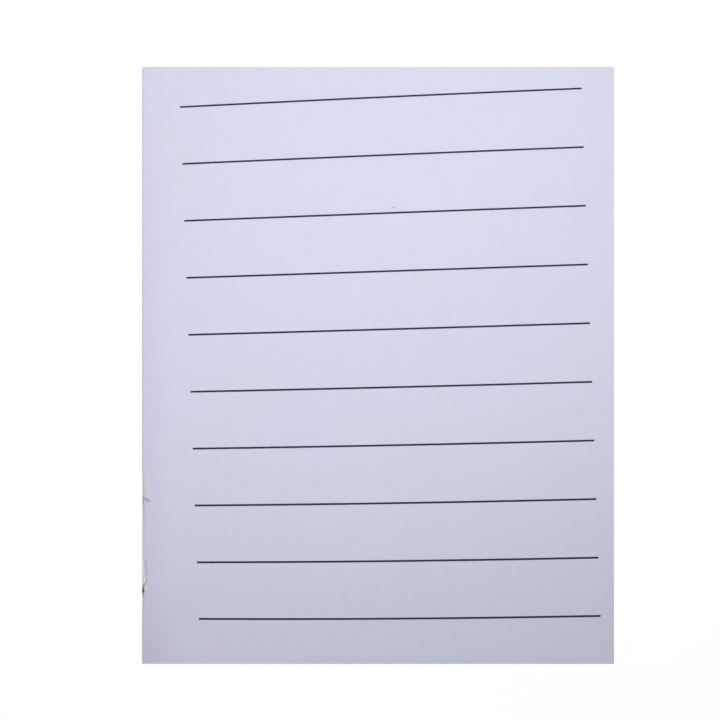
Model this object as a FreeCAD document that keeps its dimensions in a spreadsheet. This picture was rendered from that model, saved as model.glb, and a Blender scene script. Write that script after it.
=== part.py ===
"""A stapled mini notebook, folded back on itself at its centre spread.

The spine lies along Y at the left, and the leaves reach out from it along +X. The right-hand leaves lie
on top with their ruled page up, the left-hand leaves lie below with theirs down, and the front and back
covers face each other between them. The folded sheets wrap round the two staples' crowns. The origin is
under the middle of the page, on the surface that the notebook lies on. Sizes are in millimetres.
"""

import FreeCAD, Part
import math
import os

import Sketcher

SIZES = {
    "page_width": 65.2,  # from the fold's outside to the fore-edge
    "page_height": 82.4,
    "sheet_count": 10,  # folded sheets, each giving one leaf to either half
    "leaf_pitch": 0.09,  # one leaf and the air under it
    "card_thickness": 0.22,
    "cover_gap": 0.10,  # between the covers where they face each other
    "fold_reach": 0.60,  # from the wrap's axis to where the flat leaves start
    "fold_clearance": 0.03,  # between the folded card and the sheets round it
    "wire_diameter": 0.40,
    "wire_clearance": 0.04,  # round the crown and the legs, on the radius
    "clinch_clearance": 0.02,  # between the clinched ends and the sheets
    "bend_radius": 0.28,  # of the wire's centre line
    "tip_chamfer": 0.12,
    "crown_length": 12.7,  # over the legs
    "clinched_length": 4.5,  # of each folded end, from the leg's outside to its tip
    "staple_inset": 16.5,  # from the page's top or bottom edge to the staple's middle
    "lower_roll": -42.0,  # degrees above the fold's middle, so both staples lie low on the fold
    "upper_roll": -40.0,
}

doc = FreeCAD.newDocument("MiniNotebook")
sheet = doc.addObject("Spreadsheet::Sheet", "Sizes")
for row, (alias, value) in enumerate(SIZES.items(), start=1):
    sheet.set(f"A{row}", alias)
    sheet.set(f"B{row}", str(value))
    sheet.setAlias(f"B{row}", alias)
doc.recompute()


def sized(expression):
    """The expression with each named size read from the spreadsheet."""
    words = []
    for word in expression.replace("(", " ( ").replace(")", " ) ").split():
        words.append(f"Sizes.{word}" if word in SIZES else word)
    return " ".join(words)


LEAVES = "sheet_count * leaf_pitch"
HALF_HEIGHT = f"cover_gap / 2 + card_thickness + {LEAVES}"
EYE_RADIUS = "wire_diameter / 2 + wire_clearance"
CARD_RADIUS = f"{EYE_RADIUS} + card_thickness"
CLINCH_RADIUS = f"{HALF_HEIGHT} + clinch_clearance + wire_diameter / 2"
LEG_OFFSET = "crown_length / 2 - wire_diameter / 2"
STAPLE_OFFSET = "page_height / 2 - staple_inset"
WRAP_X = f"( {HALF_HEIGHT} ) - page_width / 2"
WRAP_Z = HALF_HEIGHT


def bind(target, path, expression):
    target.setExpression(path, sized(expression))


def place(target, x, y, z):
    bind(target, "Placement.Base.x", x)
    bind(target, "Placement.Base.y", y)
    bind(target, "Placement.Base.z", z)


def new_body(label):
    body = doc.addObject("PartDesign::Body", label)
    body.Label = label
    return body


def plane(body, role):
    for feature in body.Origin.OriginFeatures:
        if feature.Role == role:
            return feature
    raise ValueError(f"{body.Label} has no {role}")


def new_sketch(body, name, role):
    sketch = body.newObject("Sketcher::SketchObject", name)
    sketch.AttachmentSupport = [(plane(body, role), "")]
    sketch.MapMode = "FlatFace"
    return sketch


def measure(sketch, kind, places, name, expression):
    """Adds a named dimension and ties it to the spreadsheet."""
    value = float(sketch.evalExpression(sized(expression)))
    index = sketch.addConstraint(Sketcher.Constraint(kind, *places, value))
    sketch.renameConstraint(index, name)
    bind(sketch, f"Constraints.{name}", expression)


# ---------------------------------------------------------------- flat leaves and covers


def slab(label, bottom, thickness):
    """A flat stack from the folded strip to the fore-edge."""
    box = doc.addObject("Part::Box", label)
    box.Label = label
    start = f"{WRAP_X} + fold_reach"
    bind(box, "Length", f"page_width / 2 - ( {start} )")
    bind(box, "Width", "page_height")
    bind(box, "Height", thickness)
    place(box, start, "0 - page_height / 2", bottom)
    return box


def flat_halves():
    return [
        slab("right_leaves", f"{WRAP_Z} + cover_gap / 2 + card_thickness", LEAVES),
        slab("back_cover", f"{WRAP_Z} + cover_gap / 2", "card_thickness"),
        slab("front_cover", f"{WRAP_Z} - cover_gap / 2 - card_thickness", "card_thickness"),
        slab("left_leaves", "0", LEAVES),
    ]


# ---------------------------------------------------------------- folded strips round the staples


def fold_profile(body, outer, inner):
    """A C open towards +X: half rounds about the wrap's axis, with arms that run on to the flat leaves.

    outer and inner each hold a radius and the height at which that side of the arm ends.
    """
    arm, half_turn = 2.0, (math.pi / 2, 3 * math.pi / 2)
    sketch = new_sketch(body, f"{body.Label}_profile", "XZ_Plane")
    axis, across = FreeCAD.Vector(0, 0, 0), FreeCAD.Vector(0, 1, 0)

    def line(start, end):
        points = [FreeCAD.Vector(x, z, 0) for x, z in (start, end)]
        return sketch.addGeometry(Part.LineSegment(*points))

    def half_round(radius):
        circle = Part.Circle(axis, FreeCAD.Vector(0, 0, 1), radius)
        return sketch.addGeometry(Part.ArcOfCircle(circle, *half_turn))

    round_out, round_in = half_round(arm), half_round(arm / 2)
    ends = {}
    for side, z in (("top", arm), ("bottom", -arm)):
        out = line((0, z), (arm, z))
        end = line((arm, z), (arm, z / 2))
        back = line((arm, z / 2), (0, z / 2))
        join = 1 if side == "top" else 2
        for a, b in (
            ((round_out, join), (out, 1)),
            ((out, 2), (end, 1)),
            ((end, 2), (back, 1)),
            ((back, 2), (round_in, join)),
        ):
            sketch.addConstraint(Sketcher.Constraint("Coincident", *a, *b))
        ends[side] = end
    sketch.addConstraint(Sketcher.Constraint("Vertical", ends["top"]))
    for arc in (round_out, round_in):
        sketch.addConstraint(Sketcher.Constraint("Coincident", arc, 3, -1, 1))
        sketch.addConstraint(Sketcher.Constraint("PointOnObject", arc, 1, -2))
        sketch.addConstraint(Sketcher.Constraint("PointOnObject", arc, 2, -2))
    for point in (1, 2):
        sketch.addConstraint(
            Sketcher.Constraint("Symmetric", ends["top"], point, ends["bottom"], point, -1)
        )
    measure(sketch, "Radius", (round_out,), "outer_radius", outer[0])
    measure(sketch, "Radius", (round_in,), "inner_radius", inner[0])
    measure(sketch, "DistanceY", (-1, 1, ends["top"], 1), "outer_end", outer[1])
    measure(sketch, "DistanceY", (-1, 1, ends["top"], 2), "inner_end", inner[1])
    measure(sketch, "DistanceX", (-1, 1, ends["top"], 1), "reach", "fold_reach")
    return sketch


def leg_holes(body, name, side, roll):
    """Two holes on one staple's legs, from the wrap's axis out through the fold."""
    sketch = new_sketch(body, f"{body.Label}_{name}", "YZ_Plane")
    sketch.AttachmentOffset = FreeCAD.Placement(
        FreeCAD.Vector(0, 0, 0), FreeCAD.Rotation(FreeCAD.Vector(1, 0, 0), 1.0)
    )
    bind(sketch, "AttachmentOffset.Base.x", f"{side} * ( {STAPLE_OFFSET} )")
    bind(sketch, "AttachmentOffset.Rotation.Angle", roll)
    circles = []
    for y in (-1.0, 1.0):
        circle = Part.Circle(FreeCAD.Vector(y, 0, 0), FreeCAD.Vector(0, 0, 1), 0.2)
        circles.append(sketch.addGeometry(circle))
    left, right = circles
    sketch.addConstraint(Sketcher.Constraint("Symmetric", left, 3, right, 3, -1, 1))
    sketch.addConstraint(Sketcher.Constraint("PointOnObject", right, 3, -1))
    sketch.addConstraint(Sketcher.Constraint("Equal", left, right))
    measure(sketch, "Radius", (right,), "hole_radius", "wire_diameter / 2 + wire_clearance")
    measure(sketch, "DistanceX", (-1, 1, right, 3), "leg_offset", LEG_OFFSET)
    pocket = body.newObject("PartDesign::Pocket", f"{body.Label}_{name}_cut")
    pocket.Profile = sketch
    pocket.Type = "Length"
    pocket.SideType = "One side"
    pocket.Reversed = False
    bind(pocket, "Length", f"2 * ( {HALF_HEIGHT} )")
    return pocket


def fold(label, outer, inner):
    body = new_body(label)
    pad = body.newObject("PartDesign::Pad", f"{label}_pad")
    pad.Profile = fold_profile(body, outer, inner)
    pad.SideType = "Symmetric"
    bind(pad, "Length", "page_height")
    place(body, WRAP_X, "0", WRAP_Z)
    doc.recompute()
    for name, side, roll in (
        ("lower_holes", -1, "lower_roll"),
        ("upper_holes", 1, "upper_roll"),
    ):
        before = body.Shape.Volume
        leg_holes(body, name, side, roll)
        doc.recompute()
        if not body.Shape.Volume < before:
            raise ValueError(f"{label}: {name} cut nothing")
    return body


def folds():
    card_in = (EYE_RADIUS, "cover_gap / 2")
    card_out = (CARD_RADIUS, "cover_gap / 2 + card_thickness")
    sheets_in = (f"{CARD_RADIUS} + fold_clearance", "cover_gap / 2 + card_thickness")
    sheets_out = (HALF_HEIGHT, HALF_HEIGHT)
    return [
        fold("cover_spine", card_out, card_in),
        fold("sheet_folds", sheets_out, sheets_in),
    ]


# ---------------------------------------------------------------- staples


def wire_path(body):
    """Half a staple's centre line: crown, leg and clinched end, from the crown's middle."""
    sketch = new_sketch(body, f"{body.Label}_path", "XY_Plane")
    leg, tail, bend, tip = 6.0, 1.5, 0.3, 2.0

    def line(start, end):
        points = [FreeCAD.Vector(x, y, 0) for x, y in (start, end)]
        return sketch.addGeometry(Part.LineSegment(*points))

    def corner(x, y, start):
        circle = Part.Circle(FreeCAD.Vector(x, y, 0), FreeCAD.Vector(0, 0, 1), bend)
        return sketch.addGeometry(Part.ArcOfCircle(circle, start, start + math.pi / 2))

    crown = line((0, 0), (0, leg - bend))
    near = corner(-bend, leg - bend, 0)
    shank = line((-bend, leg), (bend - tail, leg))
    far = corner(bend - tail, leg - bend, math.pi / 2)
    clinch = line((-tail, leg - bend), (-tail, tip))
    sketch.addConstraint(Sketcher.Constraint("Coincident", crown, 1, -1, 1))
    sketch.addConstraint(Sketcher.Constraint("Vertical", crown))
    for first, second in ((crown, near), (near, shank), (shank, far), (far, clinch)):
        sketch.addConstraint(Sketcher.Constraint("Tangent", first, 2, second, 1))
    sketch.addConstraint(Sketcher.Constraint("Horizontal", shank))
    sketch.addConstraint(Sketcher.Constraint("Vertical", clinch))
    sketch.addConstraint(Sketcher.Constraint("Equal", near, far))
    measure(sketch, "Radius", (near,), "bend", "bend_radius")
    measure(sketch, "DistanceY", (-1, 1, shank, 1), "leg_offset", LEG_OFFSET)
    measure(sketch, "DistanceX", (clinch, 2, -1, 1), "clinch_radius", CLINCH_RADIUS)
    measure(sketch, "DistanceY", (-1, 1, clinch, 2), "tip", "crown_length / 2 - clinched_length")
    return sketch


def tip_edges(shape):
    """The names of the round edges at the wire's clinched end."""
    lowest = min(edge.CenterOfMass.x for edge in shape.Edges if edge.Closed)
    names = []
    for number, edge in enumerate(shape.Edges, start=1):
        if edge.Closed and abs(edge.CenterOfMass.x - lowest) < 1e-6:
            names.append(f"Edge{number}")
    return names


def staple(label, side, roll):
    body = new_body(label)
    path = wire_path(body)
    section = new_sketch(body, f"{label}_section", "XZ_Plane")
    circle = Part.Circle(FreeCAD.Vector(0, 0, 0), FreeCAD.Vector(0, 0, 1), 0.2)
    ring = section.addGeometry(circle)
    section.addConstraint(Sketcher.Constraint("Coincident", ring, 3, -1, 1))
    measure(section, "Radius", (ring,), "wire_radius", "wire_diameter / 2")
    doc.recompute()
    wire = body.newObject("PartDesign::AdditivePipe", f"{label}_wire")
    wire.Profile = section
    wire.Spine = path
    doc.recompute()
    tip = body.newObject("PartDesign::Chamfer", f"{label}_tip")
    tip.Base = (wire, tip_edges(wire.Shape))
    bind(tip, "Size", "tip_chamfer")
    doc.recompute()
    both = body.newObject("PartDesign::Mirrored", f"{label}_both_ends")
    both.TransformMode = "Whole shape"
    both.MirrorPlane = (plane(body, "XZ_Plane"), [""])
    body.Tip = both
    body.Placement = FreeCAD.Placement(
        FreeCAD.Vector(0, 0, 0), FreeCAD.Rotation(FreeCAD.Vector(0, 1, 0), 1.0)
    )
    place(body, WRAP_X, f"{side} * ( {STAPLE_OFFSET} )", WRAP_Z)
    bind(body, "Placement.Rotation.Angle", roll)
    return body


def staples():
    return [
        staple("upper_staple", 1, "upper_roll"),
        staple("lower_staple", -1, "lower_roll"),
    ]


# ---------------------------------------------------------------- build, check and write


def check_and_write(nodes):
    doc.recompute()
    for item in doc.Objects:
        if {"Invalid", "Error"} & set(item.State):
            raise ValueError(f"{item.Label} failed: {item.State}")
    for node in nodes:
        if node.Shape.isNull() or not node.Shape.isValid():
            raise ValueError(f"{node.Label} has no valid shape")
        if len(node.Shape.Solids) != 1:
            raise ValueError(f"{node.Label} has {len(node.Shape.Solids)} solids")
    os.makedirs("parts", exist_ok=True)
    for node in nodes:
        node.Shape.exportStep(f"parts/{node.Label}.step")
        box = node.Shape.BoundBox
        print(
            f"{node.Label}: {node.Shape.Volume:.2f} mm3,"
            f" x {box.XMin:.3f} {box.XMax:.3f}, y {box.YMin:.3f} {box.YMax:.3f},"
            f" z {box.ZMin:.3f} {box.ZMax:.3f}"
        )


check_and_write(flat_halves() + folds() + staples())
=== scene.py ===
"""A stapled mini notebook of ruled lavender-white paper, folded back at its centre spread."""

import math
import random

import bmesh
import bpy
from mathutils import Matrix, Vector, noise


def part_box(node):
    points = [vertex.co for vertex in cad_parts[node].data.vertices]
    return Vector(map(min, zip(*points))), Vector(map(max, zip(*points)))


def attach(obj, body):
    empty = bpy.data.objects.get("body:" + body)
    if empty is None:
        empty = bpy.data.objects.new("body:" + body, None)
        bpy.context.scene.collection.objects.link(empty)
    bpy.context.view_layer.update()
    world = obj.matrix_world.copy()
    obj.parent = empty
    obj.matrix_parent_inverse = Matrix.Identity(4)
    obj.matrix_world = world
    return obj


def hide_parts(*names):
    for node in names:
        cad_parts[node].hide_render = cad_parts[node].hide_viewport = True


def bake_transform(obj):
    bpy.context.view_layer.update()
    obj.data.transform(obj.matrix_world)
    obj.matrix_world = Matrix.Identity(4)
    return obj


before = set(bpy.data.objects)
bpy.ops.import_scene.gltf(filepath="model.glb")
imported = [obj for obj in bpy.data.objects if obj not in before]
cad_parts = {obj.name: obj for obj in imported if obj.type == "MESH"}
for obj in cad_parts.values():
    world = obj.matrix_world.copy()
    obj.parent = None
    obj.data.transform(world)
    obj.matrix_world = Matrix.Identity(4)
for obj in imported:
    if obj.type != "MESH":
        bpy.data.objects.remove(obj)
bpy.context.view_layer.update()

MM = 0.001

# ---------------------------------------------------------------- sizes

STAPLES = ("upper_staple", "lower_staple")

PAGE_LOW, PAGE_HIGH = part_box("right_leaves")
WRAP_LOW, WRAP_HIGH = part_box("sheet_folds")
COVER_LOW, COVER_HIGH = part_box("back_cover")
EYE_LOW, EYE_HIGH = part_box("cover_spine")

PAGE_TOP = PAGE_HIGH.z
FORE_EDGE = PAGE_HIGH.x
FOLD_EDGE = WRAP_LOW.x
TAIL_EDGE, HEAD_EDGE = PAGE_LOW.y, PAGE_HIGH.y
PAGE_HEIGHT = HEAD_EDGE - TAIL_EDGE
MIDDLE_Z = (WRAP_LOW.z + WRAP_HIGH.z) / 2
WRAP_RADIUS = (WRAP_HIGH.z - WRAP_LOW.z) / 2  # of the outermost page round the staples
WRAP_X = FOLD_EDGE + WRAP_RADIUS
CARD_THICKNESS = COVER_HIGH.z - COVER_LOW.z
COVER_RISE = COVER_LOW.z - MIDDLE_Z  # from the middle to a cover's outer face
EYE_RADIUS = (EYE_HIGH.z - EYE_LOW.z) / 2 - CARD_THICKNESS

LEAVES = 10  # in each half
LEAF_PITCH = (PAGE_HIGH.z - PAGE_LOW.z) / LEAVES
WRAP_PITCH = (WRAP_RADIUS - EYE_RADIUS - CARD_THICKNESS) / LEAVES
LEAF_THICKNESS = 0.078 * MM
WRAP_THICKNESS = 0.066 * MM  # of a leaf where the sheets are drawn tight round the staples
LEAF_TRIM = 0.13 * MM  # most that an inside leaf's edge lies inside the outline
FOLD_REACH = 0.6 * MM  # run over which the sheets ease from the wrap to the flat stack
FOLD_DRAW = 0.0005  # share of its height that a sheet draws in by, for each radian of its turn

STAPLE_ROLL = math.radians(-41)  # the staples lie this far below the fold's middle
WIRE_RADIUS = 0.20 * MM
UPPER_MIDDLE, LOWER_MIDDLE = (sum(corner.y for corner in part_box(node)) / 2 for node in STAPLES)

# ---------------------------------------------------------------- shader maths


class Socket:
    """A socket in a material's tree. Python's operators on it add Math nodes."""

    def __init__(self, tree, socket=None):
        self.tree, self.socket = tree, socket

    def node(self, kind, settings=None, **sockets):
        """Adds a node: settings, then sockets by label (_ for a space) or by number (i0, i1)."""
        made = self.tree.nodes.new(kind)
        for name, value in (settings or {}).items():
            setattr(made, name, value)
        for name, value in sockets.items():
            label = int(name[1:]) if name[1:].isdigit() else name.replace("_", " ")
            target = made.inputs[label]
            if isinstance(value, Socket):
                self.tree.links.new(value.socket, target)
            elif target.type == "RGBA":
                target.default_value = (*value, 1.0)
            else:
                target.default_value = value
        return made

    def take(self, made, output=0):
        return Socket(self.tree, made.outputs[output])

    def math(self, operation, *values):
        numbered = {f"i{n}": v for n, v in enumerate(values)}
        return self.take(self.node("ShaderNodeMath", {"operation": operation}, **numbered))

    def __add__(self, other):
        return self.math("ADD", self, other)

    def __radd__(self, other):
        return self.math("ADD", other, self)

    def __sub__(self, other):
        return self.math("SUBTRACT", self, other)

    def __rsub__(self, other):
        return self.math("SUBTRACT", other, self)

    def __mul__(self, other):
        return self.math("MULTIPLY", self, other)

    def __rmul__(self, other):
        return self.math("MULTIPLY", other, self)

    def size(self):
        return self.math("ABSOLUTE", self)

    def root(self):
        return self.math("SQRT", self)

    def least(self, other):
        return self.math("MINIMUM", self, other)

    def most(self, other):
        return self.math("MAXIMUM", self, other)

    def between(self, low, high):
        """0 below low, 1 above high, and smooth from one to the other."""
        ease = {"interpolation_type": "SMOOTHSTEP"}
        made = self.node("ShaderNodeMapRange", ease, Value=self, From_Min=low, From_Max=high)
        return self.take(made)

    def mix(self, low, high):
        """The colour that is this share of the way from low to high."""
        colours = {"data_type": "RGBA"}
        return self.take(self.node("ShaderNodeMix", colours, i0=self, i6=low, i7=high), 2)

    def clouds(self, scale, detail=3.0, roughness=0.5, shift=(0, 0, 0), stretch=(1, 1, 1)):
        """Soft noise about 0.5 read at this place, which is first stretched and shifted."""
        moved = self.node("ShaderNodeMapping", Vector=self, Location=shift, Scale=stretch)
        sizes = {"Scale": scale, "Detail": detail, "Roughness": roughness}
        return self.take(self.node("ShaderNodeTexNoise", Vector=self.take(moved), **sizes))

    def split(self):
        made = self.node("ShaderNodeSeparateXYZ", Vector=self)
        return [self.take(made, axis) for axis in range(3)]

    def bump(self, distance, strength=0.6):
        """The normal that this height gives."""
        made = self.node("ShaderNodeBump", Height=self, Distance=distance, Strength=strength)
        return self.take(made)


def new_material(name, specular=0.5, metallic=0.0):
    """A material with a Principled shader, and a Socket to start its tree from."""
    material = bpy.data.materials.new(name)
    material.use_nodes = True
    tree = material.node_tree
    tree.nodes.clear()
    start = Socket(tree)
    shader = start.node("ShaderNodeBsdfPrincipled", Specular_IOR_Level=specular, Metallic=metallic)
    start.node("ShaderNodeOutputMaterial", Surface=start.take(shader))
    return material, start, shader


def finish_shader(start, shader, **sockets):
    for name, value in sockets.items():
        start.tree.links.new(value.socket, shader.inputs[name.replace("_", " ")])


# ---------------------------------------------------------------- colours and grain

SHEET_MAP = "sheet"  # metres across from the start of the fold, and up the page

PAPER = (0.711, 0.722, 0.890)
PAPER_PINK = (0.732, 0.712, 0.874)
PAPER_BLUE = (0.682, 0.728, 0.886)
PAPER_FIBRE = (0.585, 0.590, 0.700)
PAPER_BY_FOLD = (0.702, 0.674, 0.858)
PAPER_DARK_CORNER = (0.520, 0.505, 0.600)
PAPER_EDGE = (0.702, 0.716, 0.795)
# painted shade on the fold's turn, standing for the shading of its curve
PAPER_FOLD_SHADE = (0.64, 0.62, 0.72)
# painted highlight on paper raised by a staple
PAPER_HIGHLIGHT = (0.92, 0.905, 0.985)
# painted shadow of creases and splits, and painted shade round a pierced spot
MARK_SHADOW = (0.33, 0.31, 0.38)
# painted shade inside a pierced hole
HOLE_SHADE = (0.040, 0.032, 0.070)
SPECK = (0.16, 0.14, 0.15)
INK = (0.026, 0.023, 0.052)
INK_THIN = (0.085, 0.079, 0.125)
CARD = (0.640, 0.625, 0.615)
CARD_WARM = (0.655, 0.620, 0.580)
CARD_WORN = (0.500, 0.475, 0.450)
STEEL = (0.42, 0.42, 0.43)
STEEL_DULL = (0.24, 0.23, 0.23)

# How far each finish takes the colour towards its own.
PINK_SHARE, BLUE_SHARE = 0.55, 0.5
FIBRE_SHARE, FORMATION_SHARE, STRAND_SHARE = 0.16, 0.10, 0.22
TINT_LOST = 0.9  # share of the tint by the fold that is lost up the page
DARK_CORNER_SHARE = 0.27
# Painted fold shade: its strength at the tail, what it loses up the page, and what it gains by the
# lower staple.
FOLD_SHADE_AT_TAIL, FOLD_SHADE_LOST, FOLD_SHADE_BY_LEG = 0.52, 0.40, 0.45
INK_THIN_SHARE = 0.4
WARM_SHARE, GRAIN_SHARE, RUBBED_SHARE = 0.6, 0.18, 0.36
LINES_SHARE, PATCHES_SHARE = 0.35, 0.5

# Roughness: the least, and what the grain adds.
PAPER_ROUGH, INK_ROUGH, CARD_ROUGH = (0.80, 0.12), (0.62, 0.20), (0.70, 0.18)
WIRE_ROUGH = (0.33, 0.18, 0.12)  # and what the dull patches add

# Noise scales, for each metre of the surface.
PINK_CLOUDS, BLUE_CLOUDS = 55.0, 75.0
FORMATION, FIBRES = 420.0, 2600.0
STRANDS, STRAND_PATCHES = 3600.0, 900.0
STROKE_EDGES = 4200.0
INK_TOOTH = 2200.0
CARD_CLOUDS, CARD_RUBS, CARD_GRAIN = 60.0, 700.0, 1500.0
WIRE_LINES, WIRE_PATCHES = 2400.0, 900.0

# Runs over which the paper changes near its fold and edges, each from its first place to its last.
TINT_ACROSS, TINT_UP = (-0.8 * MM, 3.4 * MM), (18 * MM, 42 * MM)
DARK_CORNER_ACROSS, DARK_CORNER_UP = (-0.5 * MM, 5.5 * MM), (TAIL_EDGE, TAIL_EDGE + 11 * MM)
GREYER_EDGE = (0.10 * MM, 0.44 * MM)
# Painted shade on the fold's turn: its place and widths, where it weakens, and where it is
# darkest.
FOLD_SHADE_PLACE, FOLD_SHADE_WIDTH = -0.87 * MM, (0.05 * MM, 0.24 * MM)
FOLD_SHADE_UP = (-2 * MM, 38 * MM)
FOLD_SHADE_DARKEST, DARKEST_REACH = LOWER_MIDDLE + 7 * MM, (2 * MM, 7 * MM)

# And the card.
RUBBED_EDGE, RUBBED_FOLD = (0.0, 1.1 * MM), (0.1 * MM, 1.8 * MM)

# Heights of the bumps.
PAPER_TOOTH, CARD_TOOTH, WIRE_TOOTH = 0.020 * MM, 0.012 * MM, 0.004 * MM
HOLE_DEPTH, MARK_DEPTH = 0.8, 0.25  # as shares of the paper's tooth

SEED_STEP = (0.173, 0.291)  # how far each paper's seed shifts its noise
STROKE_CORE = 0.3  # share of a stroke's half width that has its full strength
STROKE_RAGGED = 0.25 * MM  # most that noise moves a stroke's edge by


def sheet_place(start):
    return start.take(start.node("ShaderNodeUVMap", {"uv_map": SHEET_MAP}))


def object_place(start):
    return start.take(start.node("ShaderNodeTexCoord"), "Object")


def inside_edges(across, up):
    """How far a place on a sheet lies inside its fore-edge, head and tail."""
    return (FORE_EDGE - WRAP_X - across).least(PAGE_HEIGHT / 2 - up.size())


def stroke(place, ragged, near, far, width):
    """1 on a short soft stroke from near to far on the sheet, 0 past its ragged half width."""
    along = Vector(far) - Vector(near)
    length = along.length
    along = along / length if length > 0 else Vector((1, 0))
    across, up, _ = place.split()
    across, up = across - near[0], up - near[1]
    run = across * along.x + up * along.y
    off = up * along.x - across * along.y
    beyond = (0.0 - run).most(run - length).most(0.0)
    gap = (off * off + beyond * beyond).root() + ragged * min(width, STROKE_RAGGED)
    return 1.0 - gap.between(width * STROKE_CORE, width)


def clouded_paper(place, shift):
    """The paper's colour, with wide and faint pink and blue clouds."""
    pink = place.clouds(PINK_CLOUDS, detail=2.0, shift=shift).between(0.42, 0.72)
    turned = (shift[1], shift[0], 0.4)
    blue = place.clouds(BLUE_CLOUDS, detail=2.0, shift=turned).between(0.45, 0.75)
    colour = (pink * PINK_SHARE).mix(PAPER, PAPER_PINK)
    return (blue * BLUE_SHARE).mix(colour, PAPER_BLUE)


def tints_and_fold_shade(colour, place):
    """Adds a tint by the fold, a greyer corner, greyer edges and painted shade on the fold's turn.
    """
    across, up, _ = place.split()
    by_fold = 1.0 - across.between(*TINT_ACROSS)
    lower = 1.0 - up.between(*TINT_UP) * TINT_LOST
    colour = (by_fold * lower).mix(colour, PAPER_BY_FOLD)
    # a greyer, darker corner at the tail by the fold
    corner = (1.0 - across.between(*DARK_CORNER_ACROSS)) * (1.0 - up.between(*DARK_CORNER_UP))
    colour = (corner * DARK_CORNER_SHARE).mix(colour, PAPER_DARK_CORNER)
    # a greyer, slightly darker rim along the fore-edge, head and tail
    edge = 1.0 - inside_edges(across, up).between(*GREYER_EDGE)
    colour = edge.mix(colour, PAPER_EDGE)
    # painted shade on the fold's outer curve, for the shading of its turn
    fold_shade = 1.0 - (across - FOLD_SHADE_PLACE).size().between(*FOLD_SHADE_WIDTH)
    by_leg = 1.0 - (up - FOLD_SHADE_DARKEST).size().between(*DARKEST_REACH)
    shade_strength = FOLD_SHADE_AT_TAIL - FOLD_SHADE_LOST * up.between(*FOLD_SHADE_UP) + FOLD_SHADE_BY_LEG * by_leg
    return (fold_shade * shade_strength).mix(colour, PAPER_FOLD_SHADE)


def fibrous_paper(colour, place, shift):
    """Adds fibres and single strands. Gives the colour, the fibres and the paper's height."""
    fibre = place.clouds(FIBRES, 4.0, 0.65, shift, stretch=(1.0, 0.45, 1.0))
    formation = place.clouds(FORMATION, 3.0, 0.6, shift)
    colour = (fibre.between(0.60, 0.78) * FIBRE_SHARE).mix(colour, PAPER_FIBRE)
    colour = (formation.between(0.5, 0.8) * FORMATION_SHARE).mix(colour, PAPER_FIBRE)
    for lie in ((1.0, 0.22, 1.0), (0.22, 1.0, 1.0)):
        strand = place.clouds(STRANDS, 1.0, 0.5, shift, stretch=lie)
        strand = 1.0 - (strand - 0.5).size().between(0.004, 0.022)
        sparse = place.clouds(STRAND_PATCHES, 1.0, 0.5, shift=lie).between(0.50, 0.66)
        colour = (strand * sparse * STRAND_SHARE).mix(colour, PAPER_FIBRE)
    return colour, fibre, fibre * 0.6 + formation * 0.4


def paper_material(name, seed, marks=()):
    """Uncoated writing paper: faint pink and blue cloudiness, fine fibres and a soft tooth.

    marks are (colour, strength, near, far, half width) for the painted shade of creases and holes,
    painted highlights, and specks.
    """
    material, start, shader = new_material(name, specular=0.25)
    place = sheet_place(start)
    shift = (seed * SEED_STEP[0], seed * SEED_STEP[1], 0.0)
    colour = tints_and_fold_shade(clouded_paper(place, shift), place)
    colour, fibre, height = fibrous_paper(colour, place, shift)
    ragged = place.clouds(STROKE_EDGES, 2.0, 0.6, shift) - 0.5
    for shade, strength, near, far, width in marks:
        mask = stroke(place, ragged, near, far, width)
        colour = (mask * strength).mix(colour, shade)
        height = height - mask * (HOLE_DEPTH if shade == HOLE_SHADE else MARK_DEPTH)
    rough, normal = PAPER_ROUGH[0] + PAPER_ROUGH[1] * fibre, height.bump(PAPER_TOOTH)
    finish_shader(start, shader, Base_Color=colour, Roughness=rough, Normal=normal)
    return material


def ink_material():
    """Printed ruling: near black with a violet cast, thinner where the paper's tooth shows."""
    material, start, shader = new_material("ruling_ink", specular=0.25)
    tooth = object_place(start).clouds(INK_TOOTH, 3.0, 0.6)
    colour = (tooth.between(0.55, 0.85) * INK_THIN_SHARE).mix(INK, INK_THIN)
    rough = INK_ROUGH[0] + INK_ROUGH[1] * tooth
    finish_shader(start, shader, Base_Color=colour, Roughness=rough)
    return material


def card_material():
    """Plain uncoated cover card, warmer than the paper, rubbed at its edges and its fold."""
    material, start, shader = new_material("cover_card", specular=0.3)
    place = sheet_place(start)
    across, up, _ = place.split()
    warm = place.clouds(CARD_CLOUDS, detail=2.0, shift=(0.7, 0.2, 0.0)).between(0.4, 0.75)
    grain = place.clouds(CARD_GRAIN, 4.0, 0.62, stretch=(1.0, 0.5, 1.0))
    colour = (warm * WARM_SHARE).mix(CARD, CARD_WARM)
    colour = (grain.between(0.55, 0.8) * GRAIN_SHARE).mix(colour, CARD_WORN)
    rubbed = 1.0 - inside_edges(across, up).between(*RUBBED_EDGE)
    rubbed = rubbed * place.clouds(CARD_RUBS).between(0.35, 0.65)
    creased = (1.0 - across.size().between(*RUBBED_FOLD)) * (0.25 + 0.5 * grain)
    colour = (rubbed.most(creased) * RUBBED_SHARE).mix(colour, CARD_WORN)
    rough, normal = CARD_ROUGH[0] + CARD_ROUGH[1] * grain, grain.bump(CARD_TOOTH)
    finish_shader(start, shader, Base_Color=colour, Roughness=rough, Normal=normal)
    return material


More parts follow.
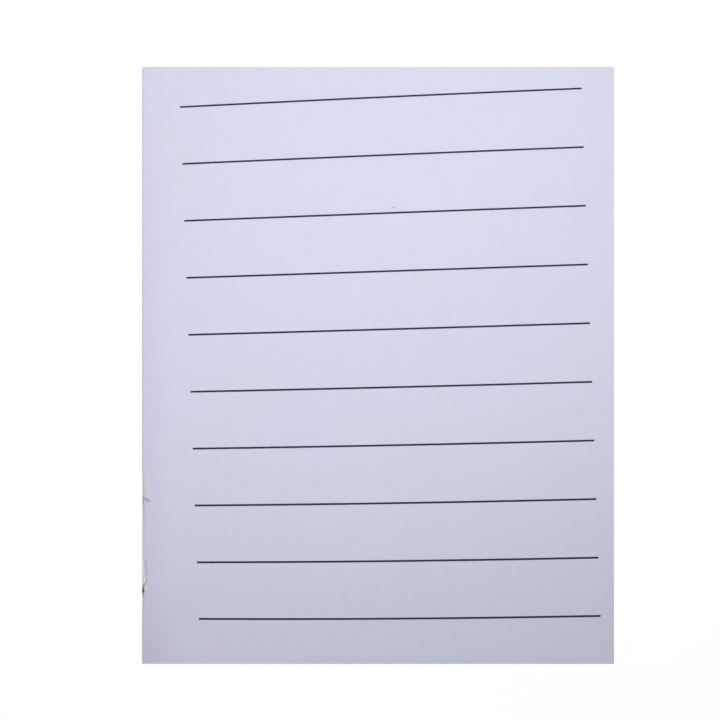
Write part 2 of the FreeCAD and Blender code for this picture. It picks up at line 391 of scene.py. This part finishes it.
def wire_material():
    """Drawn, zinc-coated steel wire with faint lengthwise lines and dull patches."""
    material, start, shader = new_material("staple_steel", metallic=1.0)
    place = object_place(start)
    drawn = place.clouds(WIRE_LINES, 3.0, 0.6, stretch=(1.0, 0.06, 1.0))
    dull = place.clouds(WIRE_PATCHES, 3.0, 0.6, shift=(0.3, 0.1, 0.0)).between(0.5, 0.8)
    lines = drawn.between(0.42, 0.66)
    darker = (lines * LINES_SHARE + dull * PATCHES_SHARE).least(1.0)
    colour = darker.mix(STEEL, STEEL_DULL)
    least, by_lines, by_patches = WIRE_ROUGH
    rough, normal = least + by_lines * lines + by_patches * dull, drawn.bump(WIRE_TOOTH)
    finish_shader(start, shader, Base_Color=colour, Roughness=rough, Normal=normal)
    return material


# ---------------------------------------------------------------- folded leaves and covers

WRAP_STEPS = 22  # faces round a quarter turn
FLAT_STEPS = 26
ROWS = 30
CROWDING = 1.35  # above 1, the faces are narrower by the fold
SHARP_EDGE = math.radians(40)
NO_LENGTH = 1e-7  # places nearer than this are the same

SWELL_RUN = 12 * MM  # run over which a leaf's swell grows, from nothing at the fold
COMMON_SWELL, COMMON_WAVES = 0.020 * MM, (31 * MM, 37 * MM)  # that all leaves share
OWN_SWELL, OWN_WAVES = 0.004 * MM, (19 * MM, 23 * MM)

STAPLE_HOLD, HOLD_EASE = 7.0 * MM, 5.0 * MM  # how far a staple's hold reaches, and then fades
ROUND_TURN = 2.0  # power of a round turn
SQUARE_BELOW = 1.2  # added to it for the lower page, where no staple holds
SQUARE_HELD, SQUARE_FREE = 0.25, 2.75  # added for the upper page: everywhere, and where not held
SQUARE_GROWTH = 1.5  # power by which a sheet further in is added less


def eased(t):
    t = min(max(t, 0.0), 1.0)
    return t * t * (3 - 2 * t)


def swell(x, y, seed):
    """A leaf's slow, shallow rise and fall. It dies away towards the fold."""
    free = eased((x - WRAP_X - FOLD_REACH) / SWELL_RUN)
    common = noise.noise(Vector((x / COMMON_WAVES[0], y / COMMON_WAVES[1], 3.7)))
    own = noise.noise(Vector((x / OWN_WAVES[0], y / OWN_WAVES[1], seed * 1.9)))
    return free * (COMMON_SWELL * common + OWN_SWELL * own)


def sheet_height(x, y, rise, radius, seed):
    """Height above the middle of a sheet's outer face, over its flat part."""
    return radius + (rise - radius) * eased((x - WRAP_X) / FOLD_REACH) + swell(x, y, seed)


def corner_power(y, number, below):
    """How square a sheet's turn is: 2 is round, and more pushes it out into a corner.

    The outer sheets are pressed squarer than the inner ones. They are rounder below, where they
    lie on the staples' folded ends, and where the lower staple draws the page down.
    """
    middles = (UPPER_MIDDLE, LOWER_MIDDLE) if below else (LOWER_MIDDLE,)
    off = min(abs(y - middle) for middle in middles)
    free = eased((off - STAPLE_HOLD) / HOLD_EASE)
    square = SQUARE_BELOW * free if below else SQUARE_HELD + SQUARE_FREE * free
    return ROUND_TURN + square * (number / LEAVES) ** SQUARE_GROWTH


def corner_reach(turn, power):
    """How far out a turn of this squareness stands at this angle, for a round turn's 1."""
    return (abs(math.sin(turn)) ** power + abs(math.cos(turn)) ** power) ** (-1 / power)


def turn_down(sheet, radius, number, below):
    """Spins a quarter turn from a flat sheet's edge by the fold, and presses it squarer."""
    ends = [v for v in sheet.verts if abs(v.co.x - WRAP_X) < NO_LENGTH]
    bend = [e for e in sheet.edges if all(v in ends for v in e.verts)]
    bmesh.ops.spin(
        sheet,
        geom=ends + bend,
        cent=(WRAP_X, 0, 0),
        axis=(0, 1, 0),
        angle=-math.pi / 2,
        steps=WRAP_STEPS,
        use_duplicate=False,
    )
    for vert in sheet.verts:
        out = WRAP_X - vert.co.x
        if out > NO_LENGTH:
            turn = math.atan2(out, vert.co.z)
            reach = radius * corner_reach(turn, corner_power(vert.co.y, number, below))
            vert.co.x = WRAP_X - reach * math.sin(turn)
            vert.co.y *= 1 - FOLD_DRAW * turn
            vert.co.z = reach * math.cos(turn)


def folded_sheet(rise, radius, thickness, tight, trim, number, below):
    """One leaf or cover of the upper half: flat, then a quarter turn down to the fold.

    rise is its outer face above the middle, and radius that face's radius round the staples.
    thickness is that of its flat part, and tight that of its turn.
    trim is how far the fore-edge, tail and head lie inside the notebook's outline.
    """
    fore, tail, head = trim
    sheet = bmesh.new()
    bmesh.ops.create_grid(sheet, x_segments=FLAT_STEPS, y_segments=ROWS, size=0.5)
    for vert in sheet.verts:
        run, climb = vert.co.x + 0.5, vert.co.y + 0.5
        vert.co.x = WRAP_X + (FORE_EDGE - fore - WRAP_X) * run ** CROWDING
        vert.co.y = TAIL_EDGE + tail + climb * (PAGE_HEIGHT - tail - head)
        vert.co.z = sheet_height(vert.co.x, vert.co.y, rise, radius, number)
    turn_down(sheet, radius, number, below)
    bmesh.ops.recalc_face_normals(sheet, faces=sheet.faces)
    if max(sheet.faces, key=lambda f: f.calc_center_median().x).normal.z < 0:
        bmesh.ops.reverse_faces(sheet, faces=sheet.faces)
    sheet.normal_update()
    bmesh.ops.solidify(sheet, geom=sheet.faces[:], thickness=tight)
    for vert in sheet.verts:
        outer = sheet_height(vert.co.x, vert.co.y, rise, radius, number)
        if vert.co.x > WRAP_X and vert.co.z < outer - tight / 2:
            vert.co.z -= (thickness - tight) * eased((vert.co.x - WRAP_X) / FOLD_REACH)
    return sheet


def add_sheet_map(sheet):
    """Lays the sheet's own map on it as if it were unrolled."""
    layer = sheet.loops.layers.uv.new(SHEET_MAP)
    for face in sheet.faces:
        for loop in face.loops:
            x, y, z = loop.vert.co
            across = x - WRAP_X
            if across < 0:
                across = -math.atan2(-across, max(z, 0.0)) * WRAP_RADIUS
            loop[layer].uv = (across, y)


def finish_piece(mesh, name, material, below):
    """Puts in place a piece made about the middle height, turned over for the lower half."""
    if below:
        bmesh.ops.scale(mesh, vec=(1, 1, -1), verts=mesh.verts)
        bmesh.ops.reverse_faces(mesh, faces=mesh.faces)
    bmesh.ops.translate(mesh, vec=(0, 0, MIDDLE_Z), verts=mesh.verts)
    data = bpy.data.meshes.new(name)
    mesh.to_mesh(data)
    mesh.free()
    data.materials.append(material)
    data.polygons.foreach_set("use_smooth", [True] * len(data.polygons))
    data.set_sharp_from_angle(angle=SHARP_EDGE)
    piece = bpy.data.objects.new(name, data)
    bpy.context.scene.collection.objects.link(piece)
    return piece


def hang_in_fold(piece, below, radius):
    """Bakes the piece's placing into its mesh."""
    side = -1 if below else 1
    MIDDLE_Z + side * radius
    WRAP_X - radius
    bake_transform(piece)


def leaf_level(number):
    """A leaf's outer face, counted from 1 next to the cover: its rise and radius in the fold."""
    rise = COVER_RISE + CARD_THICKNESS + number * LEAF_PITCH
    radius = EYE_RADIUS + CARD_THICKNESS + number * WRAP_PITCH
    return rise, radius


def make_leaves(half, below, leaf_paper, page_paper):
    """Ten leaves. Both halves trim them alike, because a sheet runs through the fold."""
    draws = random.Random("sheets")
    for number in range(1, LEAVES + 1):
        rise, radius = leaf_level(number)
        outermost = number == LEAVES
        trim = [0.0 if outermost else draws.uniform(0.0, LEAF_TRIM) for _ in range(3)]
        sheet = folded_sheet(rise, radius, LEAF_THICKNESS, WRAP_THICKNESS, trim, number, below)
        add_sheet_map(sheet)
        paper = page_paper if outermost else leaf_paper
        piece = finish_piece(sheet, f"{half}_leaf_{number:02d}", paper, below)
        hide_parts(f"{half}_leaves", "sheet_folds")
        hang_in_fold(piece, below, radius)


def make_cover(name, node, below, card):
    rise, radius = COVER_RISE + CARD_THICKNESS, EYE_RADIUS + CARD_THICKNESS
    untrimmed = (0.0, 0.0, 0.0)
    sheet = folded_sheet(rise, radius, CARD_THICKNESS, CARD_THICKNESS, untrimmed, 0, below)
    add_sheet_map(sheet)
    piece = finish_piece(sheet, name, card, below)
    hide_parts(node, "cover_spine")
    hang_in_fold(piece, below, radius)


# ---------------------------------------------------------------- ruling

LINES = 10
LINE_STEPS = 24
TOP_LINE_LEFT, TOP_LINE_RIGHT = (-27.29 * MM, 35.65 * MM), (28.13 * MM, 38.22 * MM)
LAST_LINE_LEFT, LAST_LINE_RIGHT = (-24.67 * MM, -34.93 * MM), (30.75 * MM, -34.52 * MM)
TOP_BOW, LAST_BOW = 0.07 * MM, -0.17 * MM  # a line's middle above its ends
TOP_WEIGHT, LAST_WEIGHT = 0.248 * MM, 0.280 * MM
RULING_SAG = 0.09 * MM  # the lower lines stand this much lower than an even spacing
SAG_SHARE = 0.7  # share of the way down where all of the sag is reached
LAST_SAG = 0.05 * MM  # sag of the last line
INK_PROUD, INK_SUNK = 0.008 * MM, 0.005 * MM


def make_ruling(name, below, body, ink):
    """Ten printed lines on an outermost page, a little fanned and bowed, as thin strips.

    The ruling runs on across the spread, so the lower page's lines fall away from the fold.
    """
    rise, radius = leaf_level(LEAVES)
    strips = bmesh.new()
    for number in range(LINES):
        share = number / (LINES - 1)
        left = Vector(TOP_LINE_LEFT).lerp(Vector(LAST_LINE_LEFT), share)
        right = Vector(TOP_LINE_RIGHT).lerp(Vector(LAST_LINE_RIGHT), share)
        if below:
            slope = (right.y - left.y) / (right.x - left.x)
            at_fold = left.y - slope * (left.x - FOLD_EDGE)
            left.y, right.y = (at_fold - slope * (end.x - FOLD_EDGE) for end in (left, right))
        bow = TOP_BOW + (LAST_BOW - TOP_BOW) * share
        weight = TOP_WEIGHT + (LAST_WEIGHT - TOP_WEIGHT) * share
        sag = LAST_SAG if number == LINES - 1 else RULING_SAG * eased(share / SAG_SHARE)
        made = bmesh.ops.create_grid(strips, x_segments=LINE_STEPS, y_segments=1, size=0.5)
        for vert in made["verts"]:
            run, side = vert.co.x + 0.5, 2 * vert.co.y
            x = left.x + run * (right.x - left.x)
            middle = left.y + run * (right.y - left.y) - sag + 4 * run * (1 - run) * bow
            y = middle + side * weight / 2
            vert.co = (x, y, sheet_height(x, y, rise, radius, LEAVES) + INK_PROUD)
    strips.normal_update()
    bmesh.ops.solidify(strips, geom=strips.faces[:], thickness=INK_PROUD + INK_SUNK)
    piece = finish_piece(strips, name, ink, below)
    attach(piece, body)


# ---------------------------------------------------------------- marks on the pages, and painted shade and highlights

# What the lower staple has done to the upper page, drawn as painted shade and highlights: by its
# upper leg the painted shadow of a short crease with a painted highlight beside it, and by its
# lower leg the painted shade of a pierced spot, the painted shadow of a fine split above it, and a
# painted highlight on paper raised beside the split. Each row is a shade, a strength, two places
# as inset from the fold and height above the leg, and a half width, in mm.
UPPER_LEG_SHADING = [
    (MARK_SHADOW, 0.52, (0.13, 0.40), (0.13, -0.60), 0.36),
    (MARK_SHADOW, 0.52, (0.32, 0.24), (0.66, 0.07), 0.21),
    (MARK_SHADOW, 0.62, (0.68, 0.03), (0.94, -0.06), 0.22),
    (MARK_SHADOW, 0.28, (0.98, -0.15), (1.34, -0.26), 0.17),
    (MARK_SHADOW, 0.17, (0.48, -0.24), (0.95, -0.27), 0.15),
    (PAPER_HIGHLIGHT, 0.25, (1.16, 0.10), (1.40, 0.02), 0.13),
    (PAPER_HIGHLIGHT, 0.32, (1.08, -0.53), (1.44, -0.53), 0.15),
]
LOWER_LEG_SHADING = [
    (MARK_SHADOW, 0.38, (0.56, 4.02), (0.58, 3.12), 0.19),
    (MARK_SHADOW, 0.38, (0.58, 2.98), (0.63, 1.95), 0.18),
    (MARK_SHADOW, 0.34, (0.63, 1.92), (0.73, 1.15), 0.17),
    (MARK_SHADOW, 0.36, (0.68, 0.99), (0.44, 0.68), 0.20),
    (PAPER_HIGHLIGHT, 0.46, (0.20, 4.15), (0.26, 1.95), 0.20),
    (PAPER_HIGHLIGHT, 0.70, (0.36, 2.28), (0.37, 1.92), 0.16),
    (PAPER_HIGHLIGHT, 1.00, (0.34, 1.54), (0.38, 1.14), 0.19),
    (PAPER_HIGHLIGHT, 0.85, (0.60, 0.28), (0.62, 0.14), 0.19),
    (MARK_SHADOW, 0.85, (0.15, -0.42), (0.18, -0.98), 0.30),
    (MARK_SHADOW, 0.80, (0.28, 0.44), (0.34, 0.46), 0.26),
    (MARK_SHADOW, 0.95, (0.08, 0.38), (0.12, 0.10), 0.38),
    (HOLE_SHADE, 1.00, (0.17, -0.12), (0.17, -0.37), 0.41),
    (HOLE_SHADE, 1.00, (0.05, -0.08), (0.05, -0.34), 0.54),
]
# painted shade at the lower page's leg holes: its strength and radius
LEG_HOLE_STRENGTH, LEG_HOLE_RADIUS = 0.9, 0.29 * MM
SPECK_ENDS, SPECK_HEIGHT = (2.12 * MM, 2.24 * MM), 21.80 * MM
SPECK_STRENGTH, SPECK_RADIUS = 0.8, 0.12 * MM


def on_page(inset, y):
    """The place in a page's own map that lies inset from the fold's outside, seen square on."""
    across = FOLD_EDGE + inset - WRAP_X
    if across < 0:
        out = min(-across / WRAP_RADIUS, 1.0)
        power = corner_power(y, LEAVES, False)
        across = -math.atan2(out, (1 - out ** power) ** (1 / power)) * WRAP_RADIUS
    return across, y


def staple_legs(node):
    """Heights up the page of a staple's upper and lower legs."""
    low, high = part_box(node)
    return high.y - WIRE_RADIUS, low.y + WIRE_RADIUS


def staple_shading():
    """The lower staple's marks on the upper page, as painted shade and highlights, placed in the
    page's map.
    """
    marks = []
    for leg, rows in zip(staple_legs("lower_staple"), (UPPER_LEG_SHADING, LOWER_LEG_SHADING)):
        for shade, strength, near, far, width in rows:
            ends = [on_page(inset * MM, leg + rise * MM) for inset, rise in (near, far)]
            marks.append((shade, strength, *ends, width * MM))
    return marks


def leg_hole_shade():
    """Painted shade: a dark spot where each leg of the staples comes through the lower page."""
    across = -(math.pi / 2 + STAPLE_ROLL) * WRAP_RADIUS
    places = [(across, leg) for node in STAPLES for leg in staple_legs(node)]
    return [(HOLE_SHADE, LEG_HOLE_STRENGTH, place, place, LEG_HOLE_RADIUS) for place in places]


# ---------------------------------------------------------------- the notebook

speck_places = [(x - WRAP_X, SPECK_HEIGHT) for x in SPECK_ENDS]
speck = (SPECK, SPECK_STRENGTH, *speck_places, SPECK_RADIUS)
leaf_paper = paper_material("leaf_paper", 1)
right_page = paper_material("right_page_paper", 2, [speck] + staple_shading())
left_page = paper_material("left_page_paper", 3, leg_hole_shade())
card = card_material()
ink = ink_material()
wire = wire_material()

make_leaves("right", False, leaf_paper, right_page)
make_leaves("left", True, leaf_paper, left_page)
make_cover("back_card", "back_cover", False, card)
make_cover("front_card", "front_cover", True, card)
make_ruling("right_page_ruling", False, "back_half", ink)
make_ruling("left_page_ruling", True, "front_half", ink)

for node in STAPLES:
    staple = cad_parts[node]
    for place in staple.material_slots:
        place.material = wire

# ---------------------------------------------------------------- floor, light and camera

WHITE = (1.0, 1.0, 1.0)
FLOOR_REACH, FLOOR_DROP = 3.0, 0.03 * MM
FLOOR_GREY = (0.85, 0.85, 0.85)
FLOOR_GLOW, GLOW_SHARE = 1.11, 0.8  # the rest of what is seen of the floor takes the shadow

ROOM_LOW, ROOM_HIGH = 1.10, 0.248  # the room's light from level and from straight above
LAMP_POWER = 0.0570
LAMP_LENGTH, LAMP_WIDTH = 220 * MM, 116 * MM
LAMP_PLACE = (2.6 * MM, 34.0 * MM, 600 * MM)
LAMP_TURN, LAMP_SPREAD = math.radians(24.3), math.radians(23.5)

CAMERA_X, CAMERA_Y = -2.45 * MM, 0.744 * MM
CAMERA_RISE = 350 * MM  # above the page
VIEW_WIDTH = 99.36 * MM  # on the page
SENSOR_WIDTH = 36.0
NEAREST_SEEN = 0.01


def seen_or_lit(start):
    """1 for what the camera, gloss and glass see, and 0 for light."""
    path = start.node("ShaderNodeLightPath")
    camera, glossy, through = (
        start.take(path, f"Is {kind} Ray") for kind in ("Camera", "Glossy", "Transmission")
    )
    return camera.most(glossy).most(through)


def make_floor():
    """A plain white floor that keeps a faint shadow."""
    mesh = bmesh.new()
    bmesh.ops.create_grid(mesh, x_segments=1, y_segments=1, size=FLOOR_REACH)
    bmesh.ops.translate(mesh, vec=(0, 0, -FLOOR_DROP), verts=mesh.verts)
    data = bpy.data.meshes.new("floor")
    mesh.to_mesh(data)
    mesh.free()
    floor = bpy.data.objects.new("floor", data)
    bpy.context.scene.collection.objects.link(floor)
    material = bpy.data.materials.new("floor_white")
    material.use_nodes = True
    material.node_tree.nodes.clear()
    start = Socket(material.node_tree)
    matte = start.take(start.node("ShaderNodeBsdfDiffuse", Color=FLOOR_GREY))
    glow = start.take(start.node("ShaderNodeEmission", Color=WHITE, Strength=FLOOR_GLOW))
    share = seen_or_lit(start) * GLOW_SHARE
    mixed = start.node("ShaderNodeMixShader", i0=share, i1=matte, i2=glow)
    start.node("ShaderNodeOutputMaterial", Surface=start.take(mixed))
    data.materials.append(material)


def light_room():
    """Soft light from all round, stronger from low down, against a white backdrop."""
    world = bpy.data.worlds.new("studio")
    bpy.context.scene.world = world
    world.use_nodes = True
    world.node_tree.nodes.clear()
    start = Socket(world.node_tree)
    _, _, height = start.take(start.node("ShaderNodeTexCoord"), "Generated").split()
    level = 1.0 - height.most(0.0)
    room = ROOM_HIGH + level * level * (ROOM_LOW - ROOM_HIGH)
    light = start.take(start.node("ShaderNodeBackground", Color=WHITE, Strength=room))
    white = start.take(start.node("ShaderNodeBackground", Color=WHITE, Strength=1.0))
    mixed = start.node("ShaderNodeMixShader", i0=seen_or_lit(start), i1=light, i2=white)
    start.node("ShaderNodeOutputWorld", Surface=start.take(mixed))


def hang_lamp():
    """An oval overhead lamp whose pool of light fades towards the page's tail."""
    panel = bpy.data.lights.new("overhead_lamp", "AREA")
    panel.shape = "ELLIPSE"
    panel.size, panel.size_y = LAMP_LENGTH, LAMP_WIDTH
    panel.spread = LAMP_SPREAD
    panel.energy = LAMP_POWER
    holder = bpy.data.objects.new("overhead_lamp", panel)
    bpy.context.scene.collection.objects.link(holder)
    holder.location = LAMP_PLACE
    holder.rotation_euler.z = LAMP_TURN


def make_camera():
    """Straight above the page, a little to the left of its middle."""
    lens = bpy.data.cameras.new("camera")
    lens.sensor_width = SENSOR_WIDTH
    lens.lens = SENSOR_WIDTH * CAMERA_RISE / VIEW_WIDTH
    lens.clip_start = NEAREST_SEEN
    camera = bpy.data.objects.new("camera", lens)
    bpy.context.scene.collection.objects.link(camera)
    camera.location = (CAMERA_X, CAMERA_Y, PAGE_TOP + CAMERA_RISE)
    bpy.context.scene.camera = camera


make_floor()
light_room()
hang_lamp()
make_camera()
bpy.context.scene.view_settings.view_transform = "Standard"
